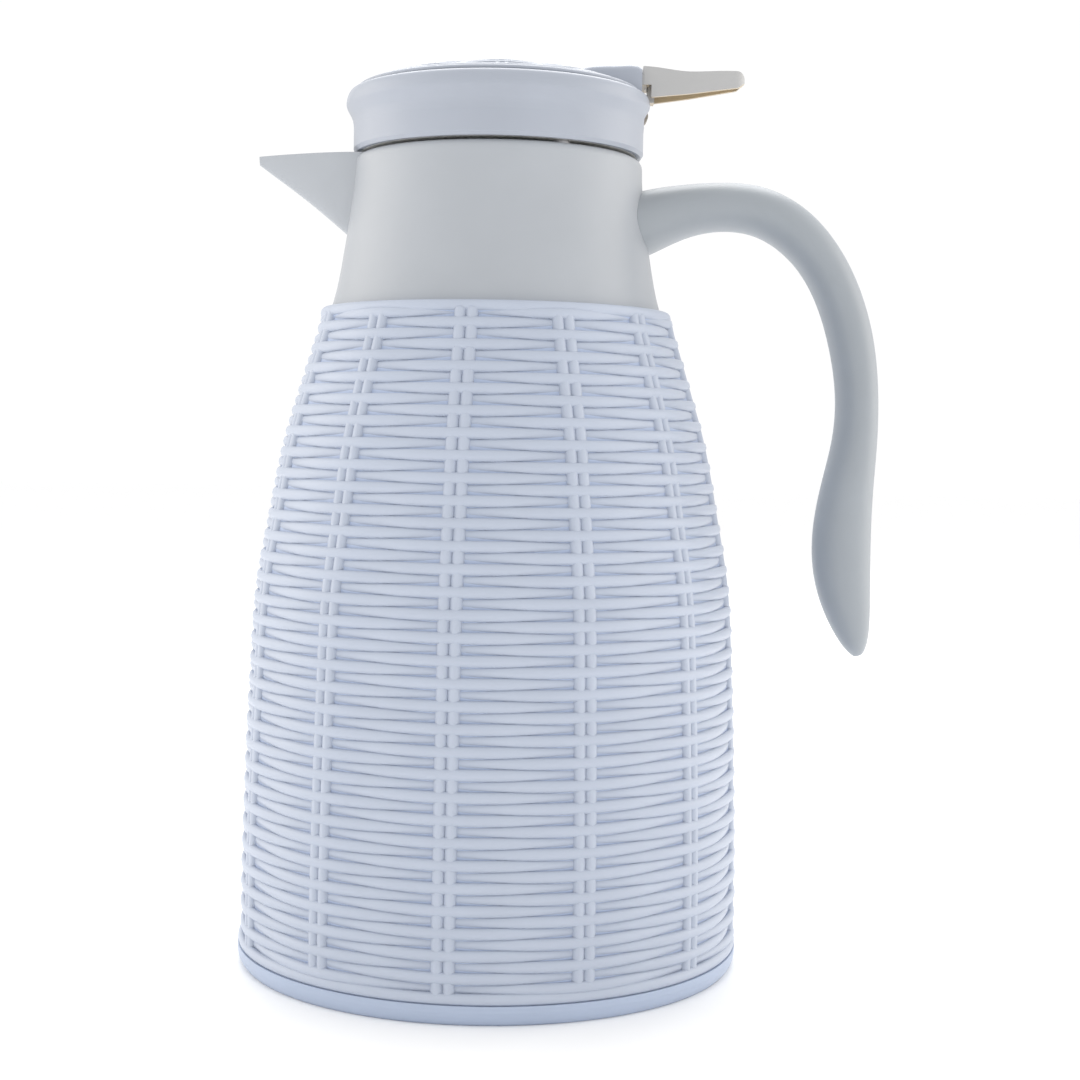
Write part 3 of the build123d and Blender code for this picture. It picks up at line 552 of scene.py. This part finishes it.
# (distance along X, height) of the pod's crest
POD_CREST = [
    (0.0200, 0.2892), (0.0230, 0.2900), (0.0300, 0.2913), (0.0380, 0.2917), (0.0430, 0.29185),
    (0.0450, 0.29155), (0.0460, 0.29090),
]
CAVITY_TOP = 0.2898
CAVITY_BOTTOM = 0.2700  # well below the cover, so the cut is open downwards
CAVITY_END = 0.0600
DOME_STEPS = 26
DOME_SKIN_TOP = 0.0017  # depth of the cover's outer and inner faces under the strands' outside
DOME_SKIN_UNDER = 0.0024
RIM_IN = 0.0438
RIM_STEP = 0.2828
RIM_LEDGE = 0.2822
POD_ROUNDING = 0.0024
POD_FOOT = 0.2832  # the pod's sides go no lower than this
NOSE_STEPS = 10
HOOD_STEPS = 16
NOSE_LENGTH = 0.0090
NOSE_SPREAD = 0.55  # width of the pod's nose as a share of its full width

# the dome is part of a sphere through its top and its edge
dome_rise = DOME_TOP - DOME_EDGE
dome_sphere = (COVER_R ** 2 + dome_rise ** 2) / (2 * dome_rise)


def dome_height(r):
    """Height of the strands' outside at a radius."""
    return DOME_TOP - dome_sphere + math.sqrt(dome_sphere ** 2 - r * r)


def dome_row(radius, side, depth):
    """A row for row_tree that lies a depth under the dome and swings square to it."""
    lean = math.asin(radius / dome_sphere)
    lean_out, lean_up = math.sin(lean), math.cos(lean)
    return (radius - depth * lean_out, dome_height(radius) - depth * lean_up, side, lean_out, lean_up)


def clear_of_lever(piece):
    """Cuts the rings where the lever passes under the pod and closes their ends inside the pod's sides."""
    margin = (POD_HALF_WIDTH - CAVITY_HALF_WIDTH) / 2
    shape = bmesh.new()
    shape.from_mesh(piece.data)
    inside = [
        v for v in shape.verts
        if v.co.x > NOSE_COVERS_X and abs(v.co.y) < CAVITY_HALF_WIDTH + margin
    ]
    bmesh.ops.delete(shape, geom=inside, context="VERTS")
    scraps = [v for v in shape.verts if len(v.link_faces) < 2]
    bmesh.ops.delete(shape, geom=scraps, context="VERTS")
    open_edges = [e for e in shape.edges if e.is_boundary]
    bmesh.ops.holes_fill(shape, edges=open_edges, sides=0)
    bmesh.ops.recalc_face_normals(shape, faces=shape.faces)
    shape.to_mesh(piece.data)
    shape.free()


lid_depth = LID_HALF_DEPTH + LID_SWING
lid_rows = []
for row in range(LID_ROWS):
    radius = LID_FIRST_ROW + row * LID_ROW_PITCH
    lid_rows.append(dome_row(radius, 1.0 if row % 2 else -1.0, lid_depth))
for radius in BORDER_RINGS:
    lid_rows.append(dome_row(radius, 0.0, LID_HALF_DEPTH))
lid_strands = grown("lid_strands", row_base("lid rows", lid_rows), woven_rows, {
    "Material": lid_plastic, "Radial half size": LID_HALF_WIDTH, "Upright half size": LID_HALF_DEPTH,
    "Swing": LID_SWING, "Waves": LID_STAKES / 2, "Phase": LID_PHASE,
    "Segments": RING_STEPS, "Sides": TUBE_SIDES,
})
lid_line = []
for radius in np.linspace(BUTTON_R - 0.0001, LID_STAKE_END, LID_STAKE_STEPS):
    lid_line.append((float(radius), dome_height(float(radius)) - LID_STAKE_SINK - LID_ROD_R))
lid_stakes = grown("lid_stakes", line_base("lid stake line", lid_line), double_stakes, {
    "Material": lid_plastic, "Rod radius": LID_ROD_R, "Rod spacing": LID_ROD_SPACING, "Count": LID_STAKES,
    "Phase": LID_PHASE, "Sides": TUBE_SIDES,
})
for woven in (lid_strands, lid_stakes):
    clear_of_lever(woven)
dome_radii = [float(r) for r in np.linspace(0.0001, COVER_R - 0.0003, DOME_STEPS)]
dome_outside = [(r, dome_height(r) - DOME_SKIN_TOP) for r in dome_radii]
dome_rim = [(COVER_R, RIM_STEP), (COVER_R, COVER_LOW.z), (RIM_IN, COVER_LOW.z), (RIM_IN, RIM_LEDGE)]
dome_inside = [(r, dome_height(r) - DOME_SKIN_UNDER) for r in reversed(dome_radii) if r < RIM_IN - 0.0002]
cover_outline = (dome_outside + dome_rim + dome_inside)[::-1]
cover_wall = turned("cover_wall", cover_outline, lid_plastic, RING_STEPS)
# the cover's middle is a plain button over the ends of the stakes: (share of its radius, height)
BUTTON = [
    (1e-6, 0.0), (0.97, 0.0), (1.0, 0.0006), (0.95, 0.0013), (0.60, 0.0018), (0.25, 0.0020), (1e-6, 0.0020),
]
BUTTON_BOTTOM = DOME_TOP - 0.0021
button_outline = [(BUTTON_R * r, BUTTON_BOTTOM + z) for r, z in BUTTON]
cover_button = turned("cover_button", button_outline, lid_plastic, BUTTON_STEPS)


def cut_with_box(piece, low, high):
    """Takes a box-shaped space out of a piece."""
    x0, y0, z0 = low
    x1, y1, z1 = high
    corners = [(x, y, z) for x in (x0, x1) for y in (y0, y1) for z in (z0, z1)]
    sides = [(0, 1, 3, 2), (4, 6, 7, 5), (0, 4, 5, 1), (2, 3, 7, 6), (0, 2, 6, 4), (1, 5, 7, 3)]
    cutter = new_mesh_object("cutter", corners, (), sides)
    finish_mesh(cutter)
    modifier = piece.modifiers.new("cut", "BOOLEAN")
    modifier.object = cutter
    modifier.solver = "EXACT"
    bpy.context.view_layer.update()
    evaluated = piece.evaluated_get(bpy.context.evaluated_depsgraph_get())
    mesh = bpy.data.meshes.new_from_object(evaluated)
    piece.modifiers.remove(modifier)
    piece.data = mesh
    bpy.data.objects.remove(cutter)


cavity_low = (CAVITY_X, -CAVITY_HALF_WIDTH, CAVITY_BOTTOM)
cavity_high = (CAVITY_END, CAVITY_HALF_WIDTH, CAVITY_TOP)
cut_with_box(cover_wall, cavity_low, cavity_high)
finish_mesh(cover_wall)


def pod_section(x, hollow):
    """Closed outline of the pod across X: rounded shoulders outside, and the lever's space inside."""
    top = float(hermite(POD_CREST, x))
    reach = min(math.hypot(x, POD_HALF_WIDTH), COVER_R)
    low = max(POD_FOOT, dome_height(reach) - DOME_SKIN_UNDER)
    spread = NOSE_SPREAD + (1 - NOSE_SPREAD) * min(1.0, (x - POD_NOSE_X) / NOSE_LENGTH)
    half = POD_HALF_WIDTH * spread
    arch = []
    for step in range(7):
        a = math.radians(15 * step)
        out, up = POD_ROUNDING * (1 - math.cos(a)), POD_ROUNDING * (1 - math.sin(a))
        arch.append((half - out, top - up))
    outside = [(half, low)] + arch + [(-y, z) for y, z in reversed(arch)] + [(-half, low)]
    roof = CAVITY_TOP if hollow else low + 0.0002
    side = CAVITY_HALF_WIDTH if hollow else half - 0.0005
    inside = [(-side, low), (-side, roof), (side, roof), (side, low)]
    return [(x, y, z) for y, z in outside + inside]


def lofted(name, sections, material):
    """Closed skin through sections that have the same number of points."""
    count = len(sections[0])
    vertices = [p for section in sections for p in section]
    faces = []
    for k in range(len(sections) - 1):
        for i in range(count):
            j = (i + 1) % count
            faces.append((k * count + i, k * count + j, (k + 1) * count + j, (k + 1) * count + i))
    faces.append(tuple(range(count)))
    faces.append(tuple(range((len(sections) - 1) * count, len(sections) * count)))
    piece = new_mesh_object(name, vertices, (), faces)
    finish_mesh(piece)
    piece.data.materials.append(material)
    return piece


nose_sections = [pod_section(float(x), False) for x in np.linspace(POD_NOSE_X, CAVITY_X, NOSE_STEPS)]
hood_sections = [pod_section(float(x), True) for x in np.linspace(CAVITY_X, POD_END_X, HOOD_STEPS)]
pod_nose = lofted("pod_nose", nose_sections, lid_plastic)
pod_hood = lofted("pod_hood", hood_sections, lid_plastic)
for part in (lid_strands, lid_stakes, cover_wall, cover_button, pod_nose, pod_hood):
    place(part, "lid", "lid_plastic", "lid_cover")


# ---- Thumb lever ----
# The lever is a hollow, open-bottomed moulding in a slightly warmer white. Its faces that look down or into
# the hollow are painted darker and yellower as painted shade.
LEVER_COLOR = (0.700, 0.700, 0.700)
LEVER_SHADE_COLOR = (0.74, 0.67, 0.55)
LOOKS_IN = -0.0008  # the sideways lean of a face times its place in Y, less than this inside the hollow
LOOKS_DOWN = -0.5


def lever_finish():
    """Off-white outside; faces that look into the hollow or down are painted a darker, yellower shade."""
    material = moulded("lever plastic", LEVER_COLOR, 0.34)
    tree = material.node_tree
    coordinates = tree.nodes.new("ShaderNodeTexCoord")
    facing = tree.nodes.new("ShaderNodeSeparateXYZ")
    where = tree.nodes.new("ShaderNodeSeparateXYZ")
    tree.links.new(coordinates.outputs["Normal"], facing.inputs["Vector"])
    tree.links.new(coordinates.outputs["Object"], where.inputs["Vector"])
    inward = tree.nodes.new("ShaderNodeMath")
    inward.operation = "MULTIPLY"
    tree.links.new(facing.outputs["Y"], inward.inputs[0])
    tree.links.new(where.outputs["Y"], inward.inputs[1])
    looks_in = tree.nodes.new("ShaderNodeMath")
    looks_in.operation = "LESS_THAN"
    looks_in.inputs[1].default_value = LOOKS_IN
    tree.links.new(inward.outputs[0], looks_in.inputs[0])
    looks_down = tree.nodes.new("ShaderNodeMath")
    looks_down.operation = "LESS_THAN"
    looks_down.inputs[1].default_value = LOOKS_DOWN
    tree.links.new(facing.outputs["Z"], looks_down.inputs[0])
    in_shade = tree.nodes.new("ShaderNodeMath")
    in_shade.operation = "MAXIMUM"
    tree.links.new(looks_in.outputs[0], in_shade.inputs[0])
    tree.links.new(looks_down.outputs[0], in_shade.inputs[1])
    # faces in the hollow or looking down get the painted shade colour
    base_color = tree.nodes["Principled BSDF"].inputs["Base Color"]
    outside = base_color.links[0].from_socket
    paint = tree.nodes.new("ShaderNodeMix")
    paint.data_type = "RGBA"
    paint.inputs["B"].default_value = srgb(LEVER_SHADE_COLOR)
    tree.links.new(outside, paint.inputs["A"])
    tree.links.new(in_shade.outputs[0], paint.inputs["Factor"])
    tree.links.new(paint.outputs["Result"], base_color)
    return material


coat("lever", lever_finish())


# ---- Studio ----
# A flat white floor in a white surround. Big soft lights stand on both sides and above, a little behind
# the jug, so its front is left slightly darker.
FLOOR_SIZE = 6.0
FLOOR_Z = -0.0001
FLOOR_COLOR = (0.992, 0.992, 0.992)
SURROUND_STRENGTH = 1.02
WARM = (1.0, 0.93, 0.84)
WHITE = (1.0, 1.0, 1.0)
LIGHT_SIZE = (1.2, 1.2)
LIGHT_TARGET = (0.0, 0.0, 0.15)
CAMERA_PLACE = (0.0156, -0.6193, 0.1704)
CAMERA_PITCH = math.radians(87.0)
CAMERA_ROLL = math.radians(0.93)
CAMERA_LENS = 62.5

floor_corners = [
    (-FLOOR_SIZE, -FLOOR_SIZE, FLOOR_Z), (FLOOR_SIZE, -FLOOR_SIZE, FLOOR_Z),
    (FLOOR_SIZE, FLOOR_SIZE, FLOOR_Z), (-FLOOR_SIZE, FLOOR_SIZE, FLOOR_Z),
]
floor = new_mesh_object("floor", floor_corners, (), [(0, 1, 2, 3)])
floor_finish = moulded("studio floor", FLOOR_COLOR, 0.85, grain=40.0, relief=0.02, tint=0.004)
floor.data.materials.append(floor_finish)


def softbox(name, location, power, color):
    """A square area light that faces the jug."""
    light = bpy.data.lights.new(name, "AREA")
    light.color = color
    light.shape = "RECTANGLE"
    light.size, light.size_y = LIGHT_SIZE
    light.energy = power
    lamp = bpy.data.objects.new(name, light)
    lamp.location = location
    aim = Vector(LIGHT_TARGET) - Vector(location)
    lamp.rotation_euler = aim.to_track_quat("-Z", "Y").to_euler()
    bpy.context.scene.collection.objects.link(lamp)


softbox("left light", (-1.3, 0.25, 0.45), 6.0, WARM)
softbox("right light", (1.3, 0.25, 0.45), 5.5, WARM)
softbox("top light", (0.0, 0.75, 1.35), 14.0, WHITE)

world = bpy.data.worlds.new("studio")
world.use_nodes = True
sky = world.node_tree.nodes["Background"]
sky.inputs["Color"].default_value = (*WHITE, 1.0)
sky.inputs["Strength"].default_value = SURROUND_STRENGTH
bpy.context.scene.world = world
bpy.context.scene.view_settings.view_transform = "Standard"

camera_data = bpy.data.cameras.new("camera")
camera_data.lens = CAMERA_LENS
camera_data.sensor_width = 36.0
camera_data.clip_start = 0.01
camera = bpy.data.objects.new("camera", camera_data)
pitch = Matrix.Rotation(CAMERA_PITCH, 4, "X")
roll = Matrix.Rotation(CAMERA_ROLL, 4, "Z")
camera.matrix_world = Matrix.Translation(CAMERA_PLACE) @ pitch @ roll
bpy.context.scene.collection.objects.link(camera)
bpy.context.scene.camera = camera
